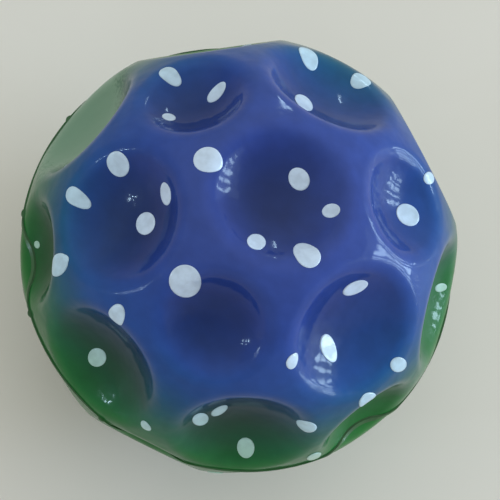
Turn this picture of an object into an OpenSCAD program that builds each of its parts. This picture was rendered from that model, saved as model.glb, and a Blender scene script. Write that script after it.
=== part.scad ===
// Bouncy ball of high-rebound foam: a sphere with round craters all over, in
// two sizes, set out like the panels of a football. A dense glossy skin, one
// half blue on top and the other green, covers a soft foam core. Paint flecks
// lie on the skin, and a thin bead of flash runs round it where the two halves
// of the mould met.
// The origin is the centre of the ball. +Z is the axis along which the mould
// opened, through the large crater in the middle of the blue side.

/* [Ball] */
// Diameter over the ridges between the craters
ball_d = 70; // [70:1:90]
// Thickness of the dense coloured skin
skin_t = 1.0; // [0.6:0.1:1.6]

/* [Large craters] */
// Width of a large crater where its bowl would meet the ball
large_mouth_d = 20.6; // [18:0.1:20.8]
// Depth of a large crater below the ball's surface
large_depth = 5.6; // [4.6:0.1:6.2]

/* [Small craters] */
// Width of a small crater where its bowl would meet the ball
small_mouth_d = 16.4; // [14:0.1:16.8]
// Depth of a small crater below the ball's surface
small_depth = 4.6; // [3.8:0.1:5.2]

/* [Crater edges] */
// Radius of the rolled edge round each crater
edge_r = 3.2; // [2.4:0.1:3.4]

/* [Paint flecks] */
// Diameter of a paint drop of middling size
fleck_d = 3; // [2:0.1:3.6]
// Thickness of the paint film
film_t = 0.12; // [0.08:0.01:0.2]

/* [Mould flash] */
// Width of the bead of flash
flash_w = 0.4; // [0.3:0.1:0.9]
// Height of the bead over the skin
flash_h = 0.25; // [0.2:0.05:0.6]
// Height of a torn tab of flash over the skin
tab_h = 0.5; // [0.3:0.05:0.9]
// Diameter of the round end of a torn tab
tab_d = 1.8; // [1.5:0.1:3]

/* [Hidden] */

$fn = 96;
// How far a cutting shape runs past what it cuts
overrun = 2;
// How far the rolled edge crosses the surfaces beside it, so that no two
// surfaces only touch
edge_cross = 0.03;
// Length of a drop's path through the film, in drop diameters
path_share = 2.4;

ball_r = ball_d / 2;
golden = (1 + sqrt(5)) / 2;

// A crater is [width, depth].
large = [large_mouth_d, large_depth];
small = [small_mouth_d, small_depth];

// The large crater on this axis is tipped to look straight up.
up = [1, 1, 1];

// The craters lie on the axes of an icosahedron: small ones on its 12 corners
// and large ones over its 20 faces. Each axis is written with the golden ratio,
// and its three turns about [1, 1, 1] come from turning its numbers round.
function turns(v) = [v, [v[1], v[2], v[0]], [v[2], v[0], v[1]]];
small_axes = [for (a = [-1, 1], b = [-1, 1], v = turns([0, a, b * golden])) v];
large_axes = concat(
    [for (a = [-1, 1], b = [-1, 1], c = [-1, 1]) [a, b, c]],
    [for (a = [-1, 1], b = [-1, 1], v = turns([0, a * golden, b / golden])) v]
);
craters = concat(
    [for (axis = small_axes) [axis, small]],
    [for (axis = large_axes) [axis, large]]
);

// The large craters' axes are all written as long as up, and the small ones'
// are longer.
function is_small(axis) = norm(axis) > (norm(up) + norm(small_axes[0])) / 2;

// Depth of the bowl below the flat circle of its mouth
function bowl_drop(crater) =
    sqrt(pow(ball_r, 2) - pow(crater[0] / 2, 2)) - ball_r + crater[1];
// Radius of the round bowl, and the distance of its centre from the ball's
function bowl_r(crater) =
    (pow(crater[0] / 2, 2) + pow(bowl_drop(crater), 2)) / (2 * bowl_drop(crater));
function bowl_z(crater) = ball_r - crater[1] + bowl_r(crater);
// Angle at the ball's centre from the crater's axis to its mouth
function mouth_angle(crater) = asin(crater[0] / ball_d);

// Centre of the rolled edge in a half section: it lies at one set distance from
// the ball's centre and at another from the bowl's centre.
function edge_centre(crater) =
    let (
        from_ball = ball_r - edge_r + edge_cross,
        from_bowl = bowl_r(crater) + edge_r - edge_cross,
        z = (pow(from_ball, 2) - pow(from_bowl, 2) + pow(bowl_z(crater), 2))
            / (2 * bowl_z(crater))
    )
    [sqrt(pow(from_ball, 2) - z * z), z];

// Distance of the skin from the ball's centre, at an angle from a crater's axis
function skin_r(crater, angle) =
    let (
        edge = edge_centre(crater),
        bowl = [0, bowl_z(crater)],
        join = bowl + (edge - bowl) * bowl_r(crater) / norm(edge - bowl),
        off = angle - atan2(edge[0], edge[1])
    )
    angle < atan2(join[0], join[1])
        ? bowl[1] * cos(angle)
            - sqrt(pow(bowl_r(crater), 2) - pow(bowl[1] * sin(angle), 2))
        : off < 0
            ? norm(edge) * cos(off)
                + sqrt(pow(edge_r, 2) - pow(norm(edge) * sin(off), 2))
            : ball_r;

// The direction at an angle from an axis, turned round that axis
function beside(axis, angle, around) =
    let (
        polar = acos(axis[2] / norm(axis)),
        azimuth = atan2(axis[1], axis[0]),
        v = [sin(angle) * cos(around), sin(angle) * sin(around), cos(angle)],
        w = [v[0] * cos(polar) + v[2] * sin(polar), v[1],
            v[2] * cos(polar) - v[0] * sin(polar)]
    )
    [w[0] * cos(azimuth) - w[1] * sin(azimuth),
        w[0] * sin(azimuth) + w[1] * cos(azimuth), w[2]];

// The craters that come within a distance of a place on the ball
function near(place, distance) =
    let (reach = asin((large_mouth_d / 2 + edge_r + distance) / ball_r))
    [for (c = craters) if (c[0] * place > norm(c[0]) * norm(place) * cos(reach)) c];

module upright() {
    rotate([0, -acos(1 / norm(up)), 0]) rotate([0, 0, -45]) children();
}

// How high an axis points once it is upright, from -1 to 1, and the highest
// that a crater can point and still cross the parting plane
function rise(axis) = axis * up / (norm(axis) * norm(up));
crossing_rise = (large_mouth_d / 2 + edge_r) / ball_r;
function on_side(side) = [for (c = craters) if (side * rise(c[0]) > -crossing_rise) c];
function at_parting() = [for (c = craters) if (abs(rise(c[0])) < crossing_rise) c];

// Turns what points along +Z to point along an axis of the pattern
module along(axis) {
    rotate([0, acos(axis[2] / norm(axis)), atan2(axis[1], axis[0])]) children();
}

// Half section of what a crater takes out of the ball. The surface that it
// leaves lies deeper than the skin's by inset.
module crater_section(crater, inset) {
    edge = edge_centre(crater);
    intersection() {
        translate([0, bowl_z(crater) - bowl_r(crater) - overrun])
            square([ball_r, ball_d]);
        union() {
            translate([0, bowl_z(crater)]) circle(bowl_r(crater) + inset);
            difference() {
                polygon([
                    [0, bowl_z(crater)], edge,
                    edge * (ball_r + overrun) / norm(edge)
                ]);
                translate(edge) circle(edge_r - inset);
            }
        }
    }
}

// The sphere's poles lie on the upright axis, where craters take them away.
module cratered_ball(inset, which = craters) {
    difference() {
        along(up) sphere(ball_r - inset);
        for (c = which)
            along(c[0]) rotate_extrude() crater_section(c[1], inset);
    }
}

// The part of a shape that lies on the skin, up to a height over it
module on_skin(height, which) {
    difference() {
        intersection() {
            children();
            cratered_ball(-height, which);
        }
        cratered_ball(0, which);
    }
}

module half_space(side) {
    translate([-ball_d, -ball_d, side > 0 ? 0 : -2 * ball_d])
        cube(2 * ball_d);
}

module skin(side) {
    difference() {
        intersection() {
            upright() cratered_ball(0, on_side(side));
            half_space(side);
        }
        upright() cratered_ball(skin_t, on_side(side));
    }
}

// The paint flecks, one to a row: the axis of their crater, their distance from
// it as a share of the crater's own, their direction round it, the size of the
// drop as a share of the middling one, and how far the drop's path slanted from
// straight in, with the direction of that slant. A slanting drop leaves a long
// fleck.
large_a = [1 / golden, 0, golden];
large_b = [golden, 1 / golden, 0];
large_c = [0, golden, 1 / golden];
large_d = [golden, -1 / golden, 0];
large_e = [-1 / golden, 0, golden];
large_f = [0, golden, -1 / golden];
fleck_shares = [
    [[1, 1, 1], 0.54, 62, 1, 35, 120],
    [[1, 1, 1], 0.79, 262, 0.9, 10, 250],
    [[1, 1, 1], 0.83, 6, 0.75, 10, 155],
    [[1, 1, 1], 0.97, 312, 1.2, 5, 60],
    [[1, 1, 1], 1.16, 173, 1.35, 10, 5],
    [large_a, 0.2, 32, 1.15, 15, 355],
    [large_a, 0.73, 79, 0.9, 40, 120],
    [large_a, 0.87, 156, 1.2, 20, 195],
    [large_a, 0.98, 210, 0.85, 20, 320],
    [large_a, 1.35, 260, 1.1, 50, 345],
    [large_b, 0.43, 271, 0.9, 45, 75],
    [large_b, 0.67, 115, 1, 35, 255],
    [large_b, 1.05, 231, 0.7, 25, 85],
    [large_b, 1.12, 358, 0.8, 60, 185],
    [large_c, 0.3, 172, 1.1, 45, 80],
    [large_c, 0.97, 90, 1.05, 15, 80],
    [large_c, 1, 35, 1.05, 5, 155],
    [large_d, 0.68, 226, 0.8, 50, 265],
    [large_d, 0.42, 209, 0.75, 55, 245],
    [large_d, 0.77, 323, 0.9, 0, 0],
    [large_d, 0.97, 56, 1.05, 30, 130],
    [large_e, 0.5, 110, 1, 25, 60],
    [large_e, 0.85, 150, 0.8, 15, 210],
    [large_f, 0.3, 140, 1.1, 20, 80],
    [large_f, 0.8, 40, 0.8, 30, 300],
    [large_f, 1.1, 100, 1, 40, 150],
    [[1, -1, 1], 0.53, 279, 0.95, 15, 60],
    [[1, -1, 1], 1.1, 136, 0.95, 50, 180],
    [[1, -1, 1], 1.14, 15, 0.6, 40, 145],
    [[1, 1, -1], 0.83, 36, 0.5, 10, 340],
    [[1, 1, -1], 0.4, 120, 1, 35, 200],
    [[-1, 1, 1], 0.5, 150, 1.05, 30, 90],
    [[-1, 1, 1], 0.9, 260, 0.75, 20, 30],
    [[golden, 0, 1], 0.98, 167, 1.55, 15, 280],
    [[0, 1, golden], 0.62, 179, 0.65, 10, 180],
    [[0, 1, golden], 0.97, 106, 0.85, 15, 45],
    [[0, 1, golden], 0.53, 31, 0.75, 25, 345],
    [[1, golden, 0], 0.55, 9, 1.2, 55, 180],
    [[1, golden, 0], 1.09, 54, 0.65, 60, 170],
    [[golden, 0, -1], 1.24, 253, 0.8, 60, 265],
    [[golden, 0, -1], 1.16, 151, 1, 40, 200],
    [[0, -1, golden], 0.76, 298, 0.4, 30, 200],
    [[-1, golden, 0], 0.5, 70, 0.95, 20, 40]
];

module fleck(place) {
    crater = is_small(place[0]) ? small : large;
    angle = place[1] * mouth_angle(crater);
    drop_d = place[3] * fleck_d;
    on_skin(film_t, near(beside(place[0], angle, place[2]), drop_d))
        along(place[0])
            rotate([0, angle, place[2]])
                translate([0, 0, skin_r(crater, angle)])
                    rotate([0, place[4], place[5]])
                        cylinder(d = drop_d, h = drop_d * path_share, center = true);
}

// The underside has the same flecks, turned over with the pattern about one of
// its level axes. The ring that the ball stands on has none.
over_axis = [-1, -1 / golden, golden];
function on_standing_ring(place) = place[0] == up && place[1] > 0.9;

// Directions in which torn tabs of flash stand out from the bead, all where the
// parting plane crosses the lands between the craters
tab_directions = [-171, -144, -111, 40, 104, 160];

module foam_core() {
    color("khaki") upright() cratered_ball(skin_t);
}

module upper_skin() {
    color("royalblue") skin(1);
}

module lower_skin() {
    color("seagreen") skin(-1);
}

module upper_flecks() {
    color("aliceblue") upright() for (place = fleck_shares) fleck(place);
}

module lower_flecks() {
    color("aliceblue")
        upright() rotate(180, over_axis)
            for (place = fleck_shares) if (!on_standing_ring(place)) fleck(place);
}

module mould_flash() {
    color("darkgreen") difference() {
        union() {
            intersection() {
                cube([2 * ball_d, 2 * ball_d, flash_w], center = true);
                upright() cratered_ball(-flash_h, at_parting());
            }
            for (direction = tab_directions)
                rotate([0, 0, direction])
                    translate([ball_r + tab_h - tab_d / 2, 0, 0])
                        cylinder(d = tab_d, h = flash_w, center = true);
        }
        upright() cratered_ball(0, at_parting());
    }
}

foam_core();
upper_skin();
lower_skin();
upper_flecks();
lower_flecks();
mould_flash();
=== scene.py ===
# %% [markdown]
# A bouncy ball of cratered foam
#
# This lesson dresses a solid model of a foam bouncy ball. The ball is a sphere with thirty-two round
# craters, blue on top and green round its sides, flecked with white paint under a clear gloss coat.
# The solid model is loaded first and stays as it is. It says where everything lies, in metres, with
# the origin at the middle of the ball and +Z along the axis on which its mould opened.

# %% Load the solid model
import math

import bmesh
import bpy
import numpy as np
from mathutils import Matrix, Vector


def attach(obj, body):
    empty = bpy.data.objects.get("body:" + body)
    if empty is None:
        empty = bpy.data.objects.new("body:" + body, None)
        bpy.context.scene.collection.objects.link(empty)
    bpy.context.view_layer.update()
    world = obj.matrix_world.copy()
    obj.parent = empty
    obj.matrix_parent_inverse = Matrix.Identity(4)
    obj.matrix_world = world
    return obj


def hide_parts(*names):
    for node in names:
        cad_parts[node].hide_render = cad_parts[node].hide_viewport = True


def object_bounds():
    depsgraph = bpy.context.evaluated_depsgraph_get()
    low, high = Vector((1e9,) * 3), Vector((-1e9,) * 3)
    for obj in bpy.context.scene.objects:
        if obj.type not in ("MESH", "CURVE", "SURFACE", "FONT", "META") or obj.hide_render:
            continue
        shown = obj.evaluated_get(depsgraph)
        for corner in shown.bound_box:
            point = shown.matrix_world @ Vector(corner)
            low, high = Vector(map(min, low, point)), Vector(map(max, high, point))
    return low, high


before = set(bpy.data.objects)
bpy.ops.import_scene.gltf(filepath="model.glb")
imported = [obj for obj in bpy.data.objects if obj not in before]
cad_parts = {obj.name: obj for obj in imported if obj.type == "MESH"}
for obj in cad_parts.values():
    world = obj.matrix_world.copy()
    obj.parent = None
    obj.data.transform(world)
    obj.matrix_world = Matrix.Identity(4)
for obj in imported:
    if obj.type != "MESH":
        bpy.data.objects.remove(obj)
cad_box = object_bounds()
scene = bpy.context.scene
mm = 0.001
print("solid model:", sorted(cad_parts))

# %% [markdown]
# The camera looks down at the ball from high up, through a long lens, so that the far side of the
# ball hardly shrinks. Its place is given as two angles and a distance from the ball's middle, and it
# is rolled about its own axis, because the picture was taken from the table's corner. A small shift
# puts the ball a little left of the picture's middle.

# %% Camera
CAMERA_AZIMUTH = math.radians(-105.7)
CAMERA_ELEVATION = math.radians(71.31)
CAMERA_ROLL = math.radians(34.48)
CAMERA_DISTANCE = 344.5 * mm
LENS_MM = 154.4
SHIFT_X = 0.0216
SHIFT_Y = 0.0097


def direction(azimuth, elevation):
    """The unit vector at an azimuth from +X and an elevation over the floor."""
    level = math.cos(elevation)
    return Vector((level * math.cos(azimuth), level * math.sin(azimuth), math.sin(elevation)))


camera = bpy.data.objects.new("camera", bpy.data.cameras.new("camera"))
scene.collection.objects.link(camera)
scene.camera = camera
camera.data.lens = LENS_MM
camera.data.shift_x = SHIFT_X
camera.data.shift_y = SHIFT_Y
camera.data.clip_start = 10 * mm
towards_camera = direction(CAMERA_AZIMUTH, CAMERA_ELEVATION)
level_view = towards_camera.to_track_quat("Z", "Y")
roll = Matrix.Rotation(CAMERA_ROLL, 4, "Z")
camera.matrix_world = (
    Matrix.Translation(towards_camera * CAMERA_DISTANCE) @ level_view.to_matrix().to_4x4() @ roll
)
print("camera at", [round(v / mm, 1) for v in camera.location], "mm")

# %% [markdown]
# The craters follow an old pattern: an icosahedron's twelve corners carry the small craters, and its
# twenty faces the large ones, as on a football's twelve black and twenty white panels. Blender's
# icosphere with one subdivision is that icosahedron. One face is turned to look straight up, and then
# the whole is spun until its corners lie where the solid model has its small craters.

# %% The thirty-two crater axes
SMALL_CRATER_AZIMUTH = math.radians(22.24)


def upright_turn():
    """The turn that brings the icosphere's pattern onto the ball's."""
    bm = bmesh.new()
    bmesh.ops.create_icosphere(bm, subdivisions=1, radius=1)
    bm.faces.ensure_lookup_table()
    face = bm.faces[0]
    tip = face.calc_center_median().rotation_difference(Vector((0, 0, 1))).to_matrix().to_4x4()
    corner = tip @ face.verts[0].co
    spin = SMALL_CRATER_AZIMUTH - math.atan2(corner.y, corner.x)
    bm.free()
    return Matrix.Rotation(spin, 4, "Z") @ tip


def icosphere(subdivisions):
    """A unit icosphere whose corners and faces look along the crater axes."""
    bm = bmesh.new()
    bmesh.ops.create_icosphere(bm, subdivisions=subdivisions, radius=1, matrix=upright_turn())
    return bm


pattern = icosphere(1)
small_axes = np.array([v.co.normalized() for v in pattern.verts])
large_axes = np.array([f.calc_center_median().normalized() for f in pattern.faces])
pattern.free()
print(len(small_axes), "small craters and", len(large_axes), "large ones")

# %% [markdown]
# Every crater is a round bowl whose wall rolls over into the ball's surface. In a half section that
# is three arcs in a row: the bowl, the rolled edge, and the ball. So the distance of the skin from
# the middle of the ball depends only on the angle from the crater's axis. That makes a formula for
# the whole surface: at every point, the lowest of what its craters leave.

# %% The surface as a formula
BALL_R = 35 * mm
SKIN_T = 1.0 * mm
EDGE_R = 3.2 * mm
LARGE_CRATER = (20.6 * mm, 5.6 * mm)
SMALL_CRATER = (16.4 * mm, 4.6 * mm)


def crater_arcs(crater):
    """Bowl radius, bowl centre's height, and the edge centre, for (mouth width, depth)."""
    half_mouth, depth = crater[0] / 2, crater[1]
    drop = math.sqrt(BALL_R**2 - half_mouth**2) - BALL_R + depth
    bowl_r = (half_mouth**2 + drop**2) / (2 * drop)
    bowl_z = BALL_R - depth + bowl_r
    from_ball, from_bowl = BALL_R - EDGE_R, bowl_r + EDGE_R
    edge_z = (from_ball**2 - from_bowl**2 + bowl_z**2) / (2 * bowl_z)
    return bowl_r, bowl_z, (math.sqrt(from_ball**2 - edge_z**2), edge_z)


def crater_angles(crater):
    """Angles from the axis at which the bowl ends and at which the rolled edge ends."""
    bowl_r, bowl_z, (edge_x, edge_z) = crater_arcs(crater)
    share = bowl_r / (bowl_r + EDGE_R)
    join = math.atan2(edge_x * share, bowl_z + (edge_z - bowl_z) * share)
    return join, math.atan2(edge_x, edge_z)


def skin_radius(angle, crater, inset):
    """Distance from the ball's middle at angles from a crater's axis, inset below the skin."""
    bowl_r, bowl_z, (edge_x, edge_z) = crater_arcs(crater)
    join, brim = crater_angles(crater)
    across = bowl_z * np.sin(angle)
    bowl = bowl_z * np.cos(angle) - np.sqrt(np.maximum((bowl_r + inset) ** 2 - across**2, 0))
    edge_out = math.hypot(edge_x, edge_z)
    off = angle - brim
    rolled = edge_out * np.cos(off) + np.sqrt(
        np.maximum((EDGE_R - inset) ** 2 - (edge_out * np.sin(off)) ** 2, 0)
    )
    return np.where(angle < join, bowl, np.where(angle < brim, rolled, BALL_R - inset))


def nearest_angle(points, axes):
    """Angle from each unit vector to the nearest of some axes."""
    return np.arccos(np.clip((points @ axes.T).max(axis=1), -1, 1))


def surface_radius(points, inset=0.0):
    """Distance of the surface from the ball's middle along each unit vector."""
    return np.minimum(
        skin_radius(nearest_angle(points, large_axes), LARGE_CRATER, inset),
        skin_radius(nearest_angle(points, small_axes), SMALL_CRATER, inset),
    )


for name, crater in (("large", LARGE_CRATER), ("small", SMALL_CRATER)):
    join, brim = crater_angles(crater)
    print(f"{name} crater: bowl to {math.degrees(join):.1f}, edge to {math.degrees(brim):.1f} degrees")

# %% [markdown]
# The skin is the dense, glossy outer layer of the foam, moulded in two halves. It could be cut from a
# ball with thirty-two booleans, but their edges would catch the light. Here a fine icosphere is moved
# out to the formula instead. Its mesh is symmetrical about every crater, and it is divided once more
# along the rolled edges, where the surface turns fastest and the gloss shows every facet.

# %% Shaping a sphere into the ball
EDGE_MARGIN = math.radians(1.5)


def places(bm):
    """The vertices' places as an array."""
    return np.array([v.co for v in bm.verts])


def move_to_surface(bm, inset=0.0):
    """Moves a unit sphere's vertices straight out to the surface."""
    points = places(bm)
    points /= np.linalg.norm(points, axis=1)[:, None]
    for vert, place in zip(bm.verts, points * surface_radius(points, inset)[:, None]):
        vert.co = place


def divide_rolled_edges(bm):
    """Divides the faces that lie on the craters' rolled edges once more."""
    points = places(bm)
    points /= np.linalg.norm(points, axis=1)[:, None]
    on_edge = np.zeros(len(points), bool)
    for axes, crater in ((large_axes, LARGE_CRATER), (small_axes, SMALL_CRATER)):
        join, brim = crater_angles(crater)
        angle = nearest_angle(points, axes)
        on_edge |= (angle > join - EDGE_MARGIN) & (angle < brim + EDGE_MARGIN)
    bm.verts.index_update()
    edges = [e for e in bm.edges if all(on_edge[v.index] for v in e.verts)]
    bmesh.ops.subdivide_edges(bm, edges=edges, cuts=1, use_grid_fill=True)
    print(f"{on_edge.mean():.0%} of the vertices lie on rolled edges")


def keep_side(bm, side):
    """Cuts a mesh at the mould line and keeps the half above it, or below for side -1."""
    bmesh.ops.bisect_plane(
        bm,
        geom=bm.verts[:] + bm.edges[:] + bm.faces[:],
        plane_co=(0, 0, 0),
        plane_no=(0, 0, side),
        clear_inner=True,
    )


trial = icosphere(1)
move_to_surface(trial)
lowest = np.linalg.norm(places(trial), axis=1)
trial.free()
print("the plainest icosphere's", len(lowest), "corners move to", lowest.round(5).max() / mm, "mm")

# %% [markdown]
# Each half of the skin is a thin bowl. The outer and the inner face are two such spheres, cut at the
# mould line, and a flat ring closes the gap between them there. The ring's edges are marked sharp, so
# that the smooth shading stops at the mould line as it does on the real ball. Every new piece rides on
# the ball's one body and stands for a node of the solid model.

# %% The two halves of the skin
OUTER_SUBDIVISIONS = 7
INNER_SUBDIVISIONS = 6


def new_piece(name, bm, slot, *replaced):
    """Makes a piece of the ball from a bmesh."""
    mesh = bpy.data.meshes.new(name)
    bm.to_mesh(mesh)
    bm.free()
    piece = bpy.data.objects.new(name, mesh)
    scene.collection.objects.link(piece)
    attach(piece, "root")
    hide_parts(*replaced)
    print(f"{name}: {len(mesh.vertices)} vertices, {len(mesh.polygons)} faces")
    return piece


def skin_half(side):
    """One half of the skin: its outer face, its inner face and the flat ring between them."""
    bm = icosphere(OUTER_SUBDIVISIONS)
    divide_rolled_edges(bm)
    keep_side(bm, side)
    move_to_surface(bm)
    inner = icosphere(INNER_SUBDIVISIONS)
    keep_side(inner, side)
    move_to_surface(inner, SKIN_T)
    inner_mesh = bpy.data.meshes.new("inner")
    inner.to_mesh(inner_mesh)
    inner.free()
    bm.from_mesh(inner_mesh)
    bpy.data.meshes.remove(inner_mesh)
    for face in bm.faces:
        face.smooth = True
    rims = [e for e in bm.edges if e.is_boundary]
    for edge in rims:
        edge.smooth = False
    bmesh.ops.triangle_fill(bm, edges=rims, use_beauty=True, normal=(0, 0, side))
    bmesh.ops.recalc_face_normals(bm, faces=bm.faces)
    print("open edges:", sum(e.is_boundary for e in bm.edges))
    return bm


upper_skin = new_piece("blue_upper_skin", skin_half(1), "blue_skin", "upper_skin")
lower_skin = new_piece("green_lower_skin", skin_half(-1), "green_skin", "lower_skin")

# %% [markdown]
# The white flecks are drops of paint flung at the ball before its clear coat. The solid model has
# them as films with square edges, each the slice of a slanting drop that the skin cut off. Real paint
# draws itself round at its edges and stands a little higher in its middle. A bevel would round the
# edges, but its loops fold over where a film is narrow. So the top of each film is taken off, to be
# closed again with a dome. The top is told from the rest by its height over the skin. The open rims
# are then followed from edge to edge, in the mesh's own order, so that every run gives the same mesh.

# %% Taking the tops off the films
FILM_T = 0.12 * mm


def heights(points):
    """How far points stand off the skin."""
    out = np.linalg.norm(points, axis=1)
    return out - surface_radius(points / out[:, None])


def open_films(bm):
    """Takes the tops off the films and gives back each film's open rim as its edges."""
    high = heights(places(bm)) > FILM_T / 2
    bm.verts.index_update()
    tops = [f for f in bm.faces if all(high[v.index] for v in f.verts)]
    bmesh.ops.delete(bm, geom=tops, context="FACES")
    rims, found = [], set()
    for start in [e for e in bm.edges if e.is_boundary]:
        rim, front = [], [start]
        while front:
            edge = front.pop()
            if edge not in found:
                found.add(edge)
                rim.append(edge)
                front.extend(e for v in edge.verts for e in v.link_edges if e.is_boundary)
        if rim:
            rims.append(rim)
    return rims


print("films are", FILM_T / mm, "mm thick in the solid model")

# %% [markdown]
# A dome starts at the open rim. Ring after ring of faces is laid inwards from it, and each new ring of
# vertices has its own height over the skin: first up a quarter circle, as surface tension draws the
# paint in, then up a low crown, which a fan of triangles closes. So the fleck follows the crater under
# it and keeps its own outline. A narrow fleck is rounded less wide and stays lower. Extruding the rim
# would make the same faces, but in an order that changes from run to run.

# %% Doming a fleck
RIM_HEIGHT = 0.03 * mm
ROUND_WIDTH = 0.30 * mm
DOME_HEIGHT = 0.13 * mm

# The rounding takes at most this share of a fleck's reach, and this share of its height
ROUND_MOST_SHARE = 0.5
ROUND_RISE_SHARE = 0.8

# Where the rings lie, in shares of the rounding's width and, for the last, of the crown's
ROUND_SHARES = (0.1, 0.35, 0.7, 1.0)
CROWN_SHARE = 0.35

# What is left, at the least, of a vertex's way to the middle after a step
LEAST_SHARE = 0.05


def set_heights(verts, points, standing):
    """Places vertices in the directions of some points, at a height over the skin."""
    units = points / np.linalg.norm(points, axis=1)[:, None]
    for vert, place in zip(verts, units * (surface_radius(units) + standing)[:, None]):
        vert.co = place


def dome_steps(reach):
    """How far in from the rim each ring lies, and how high, for a fleck of some reach."""
    width = min(ROUND_WIDTH, ROUND_MOST_SHARE * reach)
    tall = DOME_HEIGHT * width / ROUND_WIDTH
    steps = [(0, RIM_HEIGHT)]
    for share in ROUND_SHARES:
        rise = ROUND_RISE_SHARE * math.sqrt(1 - (1 - share) ** 2)
        steps.append((width * share, RIM_HEIGHT + tall * rise))
    rise = ROUND_RISE_SHARE + (1 - ROUND_RISE_SHARE) * CROWN_SHARE
    steps.append((width + (reach - width) * CROWN_SHARE, RIM_HEIGHT + tall * rise))
    return steps, RIM_HEIGHT + tall


def dome(bm, rim):
    """Closes one film's rim with rings that round over and rise to a crown."""
    verts = list(dict.fromkeys(v for e in rim for v in e.verts))
    points = np.array([v.co for v in verts])
    middle = points.mean(axis=0)
    reach = np.linalg.norm(points - middle, axis=1).min()
    steps, crown_height = dome_steps(reach)
    set_heights(verts, points, RIM_HEIGHT)
    loops = [e.link_loops[0] for e in rim]
    sides = [(loop.vert, loop.link_loop_next.vert) for loop in loops]
    for (before, _), (inward, standing) in zip(steps, steps[1:]):
        to_rim = np.array([v.co for v in verts]) - middle
        far = np.linalg.norm(to_rim, axis=1)
        share = np.maximum(1 - (inward - before) / far, LEAST_SHARE)
        ring = [bm.verts.new() for _ in verts]
        set_heights(ring, middle + to_rim * share[:, None], standing)
        inner = dict(zip(verts, ring))
        for first, second in sides:
            bm.faces.new((second, first, inner[first], inner[second]))
        sides = [(inner[first], inner[second]) for first, second in sides]
        verts = ring
    crown = middle / np.linalg.norm(middle)
    top = bm.verts.new(crown * (surface_radius(crown[None])[0] + crown_height))
    for first, second in sides:
        bm.faces.new((second, first, top))


print("rings of a dome:", len(dome_steps(ROUND_WIDTH)[0]) - 1)

# %% [markdown]
# The films of a half are one node of loose triangles. They are copied, because the solid model stays as
# it is, and joined up before anything is taken off. Then every film gets its dome.

# %% The paint flecks
WELD = 0.001 * mm


def fleck_films(node):
    """A copy of a node's films, joined up and domed."""
    bm = bmesh.new()
    bm.from_mesh(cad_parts[node].data)
    bmesh.ops.remove_doubles(bm, verts=bm.verts, dist=WELD)
    bmesh.ops.dissolve_degenerate(bm, edges=bm.edges, dist=WELD)
    rims = open_films(bm)
    for rim in rims:
        dome(bm, rim)
    bmesh.ops.recalc_face_normals(bm, faces=bm.faces)
    for face in bm.faces:
        face.smooth = True
    print(f"{node}: {len(rims)} flecks domed, open edges: {sum(e.is_boundary for e in bm.edges)}")
    return bm


upper_flecks = new_piece("white_upper_flecks", fleck_films("upper_flecks"), "white_paint", "upper_flecks")
lower_flecks = new_piece("white_lower_flecks", fleck_films("lower_flecks"), "white_paint", "lower_flecks")

# %% [markdown]
# Every finish is a small tree of shader nodes, which the node editor would show as boxes and wires. In
# a script a helper adds a node, sets its sockets and links what feeds it, so that each material below
# reads from top to bottom like a recipe. The helpers give back the socket that the next node needs.

# %% Nodes as a recipe
def add(tree, kind, settings=None, **inputs):
    """Adds a shader node. Inputs take plain values or the sockets that feed them."""
    node = tree.nodes.new("ShaderNode" + kind)
    for key, value in (settings or {}).items():
        setattr(node, key, value)
    for key, value in inputs.items():
        name = key.replace("_", " ")
        socket = node.inputs[int(key[1:])] if key[1:].isdigit() else node.inputs[name]
        if isinstance(value, bpy.types.NodeSocket):
            tree.links.new(value, socket)
        else:
            socket.default_value = value
    return node


def math_node(tree, operation, *values):
    """A Math node's result."""
    inputs = {f"i{n}": v for n, v in enumerate(values)}
    return add(tree, "Math", {"operation": operation}, **inputs).outputs[0]


def noise(tree, place, size, detail=2.0, roughness=0.5):
    """Noise with features of a size in metres, about 0 to 1."""
    return add(
        tree, "TexNoise", Vector=place, Scale=1 / size, Detail=detail, Roughness=roughness
    ).outputs["Fac"]


def along(tree, place, way):
    """How far a place lies along a direction."""
    return add(tree, "VectorMath", {"operation": "DOT_PRODUCT"}, i0=place, i1=way).outputs["Value"]


def ramp(tree, value, stops):
    """A colour ramp through (place, colour) stops."""
    node = add(tree, "ValToRGB", Fac=value)
    elements = node.color_ramp.elements
    while len(elements) < len(stops):
        elements.new(1)
    for element, (place, colour) in zip(elements, stops):
        element.position = place
        element.color = (*colour, 1)
    return node.outputs["Color"]


# %% [markdown]
# The ball is sprayed twice. Green goes on from below and all round, then blue from above, by a gun
# held a little to one side, and the blue thins out down the ball's sides. An image wrapped round the
# ball could hold those colours, but a ramp over the height along the gun's axis needs no image and
# stays sharp at any size. Slow noise makes the border drift, as spray does. The height comes from the
# object's own coordinates, so the colours stay on the ball however it is turned.

# %% How the two sprays lie
SPRAY_AXIS = (0, -0.05, 1)
DRIFT_SIZE = 14 * mm
DRIFT = 0.10

# Linear colour by height along the spray's axis, from the mould line to the top
SPRAY_STOPS = (
    (0.00, (0.005, 0.112, 0.015)),
    (0.14, (0.005, 0.114, 0.026)),
    (0.27, (0.005, 0.110, 0.054)),
    (0.36, (0.004, 0.095, 0.080)),
    (0.44, (0.003, 0.082, 0.134)),
    (0.52, (0.004, 0.072, 0.197)),
    (0.60, (0.010, 0.065, 0.266)),
    (0.70, (0.016, 0.063, 0.300)),
    (0.84, (0.024, 0.061, 0.316)),
    (0.96, (0.037, 0.067, 0.314)),
)


def outward(tree, place):
    """The direction from the ball's middle to a place."""
    return add(tree, "VectorMath", {"operation": "NORMALIZE"}, i0=place).outputs[0]


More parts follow.
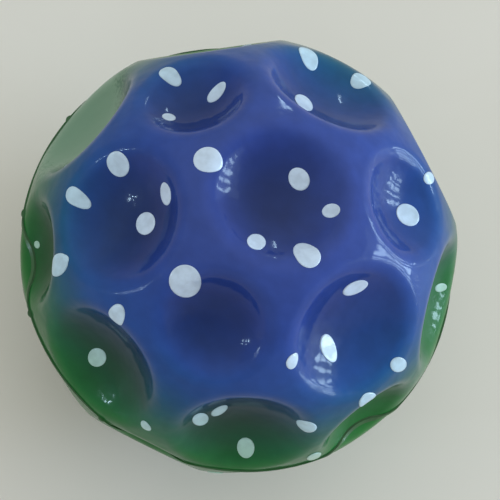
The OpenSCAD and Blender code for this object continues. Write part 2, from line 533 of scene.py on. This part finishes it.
def spray_height(tree, place):
    """From about 0 at the mould line to 1 on top, along the spray's axis, with a slow drift."""
    height = along(tree, outward(tree, place), SPRAY_AXIS)
    centred = math_node(tree, "SUBTRACT", noise(tree, place, DRIFT_SIZE), 0.5)
    return math_node(tree, "MULTIPLY_ADD", centred, DRIFT, height)


print("spray:", len(SPRAY_STOPS), "colours from the mould line to the top")

# %% [markdown]
# The craters get painted shade, darker as they sink: the colour is multiplied by a second ramp, over the
# depth below the ball's round surface. Red goes first and blue last, which is why the craters look navy.
# On the lit side of the ball less of this painted shade shows.

# %% Painted shade in the craters
# The depth that the ramp's end stands for
CRATER_SHADE_DEPTH = 6 * mm

# Painted shade in the craters: share of each colour that is left at depths below the ball's round
# surface, in millimetres
CRATER_SHADE_STOPS = (
    (0.0, (1.00, 1.00, 1.00)),
    (0.9, (0.72, 0.80, 0.89)),
    (2.1, (0.55, 0.64, 0.76)),
    (3.3, (0.38, 0.50, 0.61)),
    (5.4, (0.30, 0.38, 0.43)),
)
# The lit side, towards the window, where less of the painted shade shows
LIT_SIDE_AZIMUTH = 25
LIT_SIDE_SHADE_SHARE = 0.4
LIT_SIDE_START = -0.1 * BALL_R
LIT_SIDE_END = 0.5 * BALL_R


def between(tree, value, low, high, to_low=0.0, to_high=1.0):
    """A value's smooth way from one number to another as it goes from low to high."""
    node = add(tree, "MapRange", {"interpolation_type": "SMOOTHSTEP"}, Value=value)
    for name, number in zip(("From Min", "From Max", "To Min", "To Max"), (low, high, to_low, to_high)):
        node.inputs[name].default_value = number
    return node.outputs["Result"]


def mix(tree, share, first, second):
    """A colour between two."""
    return add(tree, "Mix", {"data_type": "RGBA"}, i0=share, i6=first, i7=second).outputs[2]


def crater_shade_share(tree, place):
    """How much of the painted crater shade shows: less on the lit side."""
    aside = along(tree, place, direction(math.radians(LIT_SIDE_AZIMUTH), 0))
    return between(tree, aside, LIT_SIDE_START, LIT_SIDE_END, 1.0, LIT_SIDE_SHADE_SHARE)


def painted_crater_shade(tree, place):
    """Painted shade: the share of each colour that is left, less the deeper a crater sinks."""
    out = add(tree, "VectorMath", {"operation": "LENGTH"}, i0=place).outputs["Value"]
    depth = math_node(tree, "DIVIDE", math_node(tree, "SUBTRACT", BALL_R, out), CRATER_SHADE_DEPTH)
    stops = tuple((low * mm / CRATER_SHADE_DEPTH, colour) for low, colour in CRATER_SHADE_STOPS)
    return mix(tree, crater_shade_share(tree, place), (1, 1, 1, 1), ramp(tree, depth, stops))


print("painted crater shade: darkest at", CRATER_SHADE_STOPS[-1][0], "mm below the round surface")

# %% [markdown]
# A crater's two walls differ as well, by painted light and shade: a face that looks up more than the
# round ball does there is painted lighter, and one that looks more outwards darker, with a slight shift
# of hue. The difference between the height of the surface's normal and that of the ball's outward
# direction tells them apart. A ramp ends at 1, so it holds half of each share, and the mottle on top of
# it makes up for that.

# %% Painted light and shade by how the walls are turned
# Painted light and shade: half of each colour's share by how much more a face looks up than the round
# ball does there
FACING_LIGHT_STOPS = (
    (-0.5, (0.42, 0.46, 0.47)),
    (0.0, (0.50, 0.50, 0.50)),
    (0.25, (0.70, 0.60, 0.55)),
    (0.5, (0.85, 0.68, 0.68)),
)
MOTTLE_SIZE = 3 * mm
MOTTLE = (2 * 0.93, 2 * 1.06)

# A noise seldom leaves this range, so its spots are drawn between the two
NOISE_LOW, NOISE_HIGH = 0.3, 0.7


def painted_facing_light(tree, place, normal):
    """Painted light and shade: half the share of each colour by which way a face is turned."""
    up = (0, 0, 1)
    turn = math_node(tree, "SUBTRACT", along(tree, normal, up), along(tree, outward(tree, place), up))
    shifted = math_node(tree, "ADD", turn, 0.5)
    return ramp(tree, shifted, tuple((value + 0.5, colour) for value, colour in FACING_LIGHT_STOPS))


def mottle(tree, place):
    """Small uneven spots in the spray."""
    return between(tree, noise(tree, place, MOTTLE_SIZE, 4.0), NOISE_LOW, NOISE_HIGH, *MOTTLE)


print("painted facing light:", len(FACING_LIGHT_STOPS), "stops, mottle", [value / 2 for value in MOTTLE])

# %% [markdown]
# On one side a pale patch is painted over the green, densest in one crater: a painted reflection, the
# pale sheen that the glossy ball shows there at a grazing angle. A Mapping node turns the ball's
# coordinates into the patch's own, in which its border is a unit sphere. Two noises break that border
# up, a coarse one for its outline and a fine one for small specks.

# %% A patch of painted sheen
# Painted reflection: where the pale sheen lies, its size, its colour and the noises at its border
SHEEN_AZIMUTH = 160
SHEEN_ELEVATION = 9
SHEEN_RADII = (13 * mm, 12.5 * mm, 7 * mm)
SHEEN_COLOUR = (0.18, 0.285, 0.20)
SHEEN_OUTLINE = (5 * mm, 0.5)
SHEEN_SPECKS = (0.5 * mm, 0.6)
SHEEN_FULL = 1.2
SHEEN_GONE = 1.8


def painted_sheen_share(tree, place):
    """How much of the painted pale sheen lies at a point, with a speckled border."""
    azimuth, elevation = math.radians(SHEEN_AZIMUTH), math.radians(SHEEN_ELEVATION)
    mapping = add(tree, "Mapping", {"vector_type": "TEXTURE"}, Vector=place)
    mapping.inputs["Location"].default_value = direction(azimuth, elevation) * BALL_R
    mapping.inputs["Rotation"].default_value = (0, -elevation, azimuth)
    mapping.inputs["Scale"].default_value = SHEEN_RADII
    away = add(tree, "VectorMath", {"operation": "LENGTH"}, i0=mapping.outputs[0]).outputs["Value"]
    for size, weight in (SHEEN_OUTLINE, SHEEN_SPECKS):
        away = math_node(tree, "MULTIPLY_ADD", noise(tree, place, size, 3.0), weight, away)
    return between(tree, away, SHEEN_FULL, SHEEN_GONE, 1.0, 0.0)


print("painted sheen patch:", [round(2 * radius / mm) for radius in SHEEN_RADII], "mm across")

# %% [markdown]
# The skin's finish puts these together under a clear coat. On the real ball the coat is dipped and
# flows, so it is smooth but never flat: it has long waves, shorter ripples and a very fine peel, and
# they break up every reflection. Modelled, those ripples would take millions of faces, so each is a
# bump laid on the one before it. The coat is a layer of the Principled shader, over paint that itself
# shines only a little. A value that is the same all over is set on the shader's own socket.

# %% Helpers for a finish
def new_material(name):
    """A material with an empty tree and its Principled shader wired to the output."""
    material = bpy.data.materials.new(name)
    material.use_nodes = True
    tree = material.node_tree
    shader = tree.nodes["Principled BSDF"]
    return material, tree, shader


def times(tree, first, second):
    """Two colours multiplied channel by channel."""
    return add(tree, "VectorMath", {"operation": "MULTIPLY"}, i0=first, i1=second).outputs[0]


def scaled(tree, colour, factor):
    """A colour made brighter or darker."""
    return add(tree, "VectorMath", {"operation": "SCALE"}, i0=colour, Scale=factor).outputs[0]


def relief(tree, place, size, height, detail=2.0, **under):
    """A bump of noise, given its features' size and height and, if any, the relief under it."""
    bumps = noise(tree, place, size, detail)
    return add(tree, "Bump", Height=bumps, Distance=height, Strength=1.0, **under).outputs[0]


def set_sockets(shader, values):
    """Sets values that are the same all over a surface on the shader itself."""
    for name, value in values.items():
        shader.inputs[name].default_value = value


def dress(piece, material):
    """Gives a piece one material."""
    piece.data.materials.clear()
    piece.data.materials.append(material)
    print(f"{piece.name} wears {material.name}, {len(material.node_tree.nodes)} nodes")


# %% The skin's finish
WAVES = (7 * mm, 0.20 * mm, 1.0)
RIPPLES = (2.4 * mm, 0.09 * mm, 1.0)
PEEL = (0.7 * mm, 0.004 * mm, 2.0)
SKIN_GLOSS = {
    "Roughness": 0.38,
    "Specular IOR Level": 0.08,
    "Coat Weight": 0.54,
    "Coat Roughness": 0.09,
    "Coat IOR": 1.41,
}


def skin_material():
    """Two sprayed colours with painted shade, painted light and a painted sheen, under a clear coat."""
    material, tree, shader = new_material("sprayed foam skin")
    coordinates = add(tree, "TexCoord")
    place, normal = coordinates.outputs["Object"], coordinates.outputs["Normal"]
    sprayed = ramp(tree, spray_height(tree, place), SPRAY_STOPS)
    crater_shaded = times(tree, sprayed, painted_crater_shade(tree, place))
    facing_lit = times(tree, crater_shaded, painted_facing_light(tree, place, normal))
    mottled = scaled(tree, facing_lit, mottle(tree, place))
    with_painted_sheen = mix(tree, painted_sheen_share(tree, place), mottled, (*SHEEN_COLOUR, 1))
    tree.links.new(with_painted_sheen, shader.inputs["Base Color"])
    wavy = relief(tree, place, *WAVES)
    rippled = relief(tree, place, *RIPPLES, Normal=wavy)
    peeled = relief(tree, place, *PEEL, Normal=rippled)
    tree.links.new(peeled, shader.inputs["Normal"])
    tree.links.new(peeled, shader.inputs["Coat Normal"])
    set_sockets(shader, SKIN_GLOSS)
    return material


skin_finish = skin_material()
dress(upper_skin, skin_finish)
dress(lower_skin, skin_finish)

# %% [markdown]
# The flecks lie under the same clear coat. They are white, but greenish and darker low on the ball and
# bluish and paler on top. So they use the spray's own height in a ramp of pale tints, with soft blotches
# where the film is thin.

# %% The flecks' finish
FLECK_STOPS = (
    (0.1, (0.36, 0.56, 0.46)),
    (0.45, (0.48, 0.66, 0.82)),
    (0.8, (0.63, 0.71, 0.92)),
)
BLOTCH_SIZE = 1.6 * mm
BLOTCH = (0.88, 1.06)
FLECK_PEEL = (0.8 * mm, 0.01 * mm, 2.0)
FLECK_GLOSS = {"Roughness": 0.4, "Coat Weight": 0.6, "Coat Roughness": 0.1}


def fleck_material():
    """White paint under the clear coat, greenish and darker low on the ball, bluish and paler on top."""
    material, tree, shader = new_material("white paint fleck")
    place = add(tree, "TexCoord").outputs["Object"]
    colour = ramp(tree, spray_height(tree, place), FLECK_STOPS)
    spots = noise(tree, place, BLOTCH_SIZE, 3.0)
    blotch = between(tree, spots, NOISE_LOW, NOISE_HIGH, *BLOTCH)
    tree.links.new(scaled(tree, colour, blotch), shader.inputs["Base Color"])
    tree.links.new(relief(tree, place, *FLECK_PEEL), shader.inputs["Normal"])
    set_sockets(shader, FLECK_GLOSS)
    return material


fleck_finish = fleck_material()
dress(upper_flecks, fleck_finish)
dress(lower_flecks, fleck_finish)

# %% [markdown]
# Two nodes of the solid model are shown as they are, each with a finish of its own. The foam core shows
# only where the ball is cut open: open cells, which a Voronoi texture gives, with painted shade darkening
# their sunken middles. The flash is a torn bead of skin, rougher, less evenly coated and a little darker
# than the skin beside it.

# %% The foam's and the flash's finishes
CELL_SIZE = 0.8 * mm
CELL_DEPTH = 0.3 * mm
# Foam colour, with painted shade towards the middle of each cell
FOAM_AND_PORE_SHADE_STOPS = ((0.0, (0.35, 0.30, 0.18)), (0.6, (0.72, 0.66, 0.45)))
FLASH_STOPS = ((0.3, (0.006, 0.070, 0.008)), (0.7, (0.010, 0.105, 0.012)))
FLASH_BLOTCH_SIZE = 2 * mm
TEAR = (0.5 * mm, 0.05 * mm, 3.0)


def foam_material():
    """Pale open-celled foam, with painted shade in the middles of its cells."""
    material, tree, shader = new_material("pale foam")
    place = add(tree, "TexCoord").outputs["Object"]
    cells = add(tree, "TexVoronoi", {"feature": "F1"}, Vector=place, Scale=1 / CELL_SIZE)
    away = cells.outputs["Distance"]
    tree.links.new(ramp(tree, away, FOAM_AND_PORE_SHADE_STOPS), shader.inputs["Base Color"])
    bump = add(tree, "Bump", Height=away, Distance=CELL_DEPTH, Strength=1.0)
    tree.links.new(bump.outputs[0], shader.inputs["Normal"])
    set_sockets(shader, {"Roughness": 0.9})
    return material


def flash_material():
    """The torn bead of skin material, dark green and duller than the skin."""
    material, tree, shader = new_material("dark green flash")
    place = add(tree, "TexCoord").outputs["Object"]
    blotch = noise(tree, place, FLASH_BLOTCH_SIZE, 3.0)
    tree.links.new(ramp(tree, blotch, FLASH_STOPS), shader.inputs["Base Color"])
    tree.links.new(relief(tree, place, *TEAR), shader.inputs["Normal"])
    set_sockets(shader, {"Roughness": 0.35, "Coat Weight": 0.4, "Coat Roughness": 0.2})
    return material


dress(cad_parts["foam_core"], foam_material())
dress(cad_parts["mould_flash"], flash_material())

# %% [markdown]
# The ball stands on a pale table. Nothing else is in the picture, so the table is one large plane with
# a faint unevenness in its paint, laid at the height of the solid model's lowest point.

# %% The table
TABLE_HALF = 1.5
TABLE_BLOTCH_SIZE = 60 * mm
TABLE_STOPS = ((0.3, (0.825, 0.717, 0.67)), (0.7, (0.86, 0.752, 0.703)))


def table_material():
    """Pale, slightly glossy paint."""
    material, tree, shader = new_material("pale table")
    place = add(tree, "TexCoord").outputs["Object"]
    blotch = noise(tree, place, TABLE_BLOTCH_SIZE, 3.0)
    tree.links.new(ramp(tree, blotch, TABLE_STOPS), shader.inputs["Base Color"])
    set_sockets(shader, {"Roughness": 0.45, "Specular IOR Level": 0.3})
    return material


bm = bmesh.new()
bmesh.ops.create_grid(bm, x_segments=1, y_segments=1, size=TABLE_HALF)
bmesh.ops.translate(bm, verts=bm.verts, vec=(0, 0, cad_box[0].z))
table_mesh = bpy.data.meshes.new("table")
bm.to_mesh(table_mesh)
bm.free()
table = bpy.data.objects.new("table", table_mesh)
scene.collection.objects.link(table)
dress(table, table_material())

# %% [markdown]
# A gloss coat is only as good as what it reflects. A tall window stands to the right, with panes in
# three rows and five columns, which show as broken bright marks in the craters, and a pale wall round
# it gives them a soft glow. Five small far lamps to the left make the pairs of bright dots. One large
# lamp would light the ball as well, but it would leave plain white patches on the coat.

# %% The lamps
WINDOW_COLOUR = (0.58, 0.82, 1.0)
WINDOW_AZIMUTH = 13
WINDOW_DISTANCE = 1.6

# Columns: azimuth from the window's middle, width and power for each metre of height
WINDOW_COLUMNS = ((-13, 0.06, 3.6), (-6, 0.09, 5.4), (1, 0.10, 6.4), (9, 0.07, 4.4), (17, 0.09, 5.4))

# Rows: elevation and height
WINDOW_ROWS = ((5, 0.17), (13, 0.19), (22, 0.21))

# Far lamps: azimuth, elevation, width and height, and power
FAR_LAMPS = (
    (-152, 12, 0.05, 0.9),
    (-149, 17, 0.04, 0.7),
    (-155, 18, 0.04, 0.6),
    (-146, 21, 0.04, 0.5),
    (-151, 24, 0.05, 0.7),
)
FAR_DISTANCE = 2.0

# The pale wall round the window, and a bright doorway to the side
WINDOW_WALL = {"elevation": 18, "distance": 1.9, "width": 1.6, "height": 1.1, "power": 3.5}
SIDE_DOOR = {"elevation": 18, "distance": 2.0, "width": 0.06, "height": 0.35, "power": 1.6}
SIDE_DOOR_AZIMUTH = 92


def soft_lamp(name, azimuth, elevation, distance, width, height, power):
    """A rectangle of light that faces the ball."""
    lamp = bpy.data.lights.new(name, "AREA")
    lamp.shape = "RECTANGLE"
    lamp.size, lamp.size_y = width, height
    lamp.energy = power
    lamp.color = WINDOW_COLOUR
    holder = bpy.data.objects.new(name, lamp)
    scene.collection.objects.link(holder)
    towards_lamp = direction(math.radians(azimuth), math.radians(elevation))
    holder.location = towards_lamp * distance
    holder.rotation_euler = towards_lamp.to_track_quat("Z", "Y").to_euler()


for column, (turn, width, power) in enumerate(WINDOW_COLUMNS):
    for row, (elevation, height) in enumerate(WINDOW_ROWS):
        name = f"window pane {column}{row}"
        azimuth = WINDOW_AZIMUTH + turn
        soft_lamp(name, azimuth, elevation, WINDOW_DISTANCE, width, height, power * height)
for number, (azimuth, elevation, size, power) in enumerate(FAR_LAMPS):
    soft_lamp(f"far lamp {number}", azimuth, elevation, FAR_DISTANCE, size, size, power)
soft_lamp("window wall", WINDOW_AZIMUTH, **WINDOW_WALL)
soft_lamp("side door", SIDE_DOOR_AZIMUTH, **SIDE_DOOR)

# %% [markdown]
# Most of the light comes softly from the whole room. The world's colour does that: low down it is
# brightest on the window's side, and higher up on the other side, where a pale ceiling would be. The
# strengths stay below 1, so that the table and the flecks don't burn out.

# %% The room's own light
ROOM_COLOUR = (0.90, 1.0, 0.93)
LOW_LIGHT = {"azimuth": 30, "far": 0.60, "near": 0.86}
HIGH_LIGHT = {"azimuth": 115, "far": 0.46, "near": 0.96}
LOW_ENDS = 0.30
HIGH_STARTS = 0.60


def side_light(tree, seen, azimuth, far, near):
    """Light that grows from one side of the room to the other."""
    aside = along(tree, seen, direction(math.radians(azimuth), 0))
    return between(tree, aside, -1, 1, far, near)


world = bpy.data.worlds.new("room")
scene.world = world
world.use_nodes = True
tree = world.node_tree
background = tree.nodes["Background"]
seen = add(tree, "TexCoord").outputs["Generated"]
strength = add(
    tree,
    "Mix",
    i0=between(tree, along(tree, seen, (0, 0, 1)), LOW_ENDS, HIGH_STARTS),
    i2=side_light(tree, seen, **LOW_LIGHT),
    i3=side_light(tree, seen, **HIGH_LIGHT),
).outputs[0]
background.inputs["Color"].default_value = (*ROOM_COLOUR, 1)
tree.links.new(strength, background.inputs["Strength"])
scene.view_settings.view_transform = "Standard"
print("room light: low", LOW_LIGHT, "and high", HIGH_LIGHT)
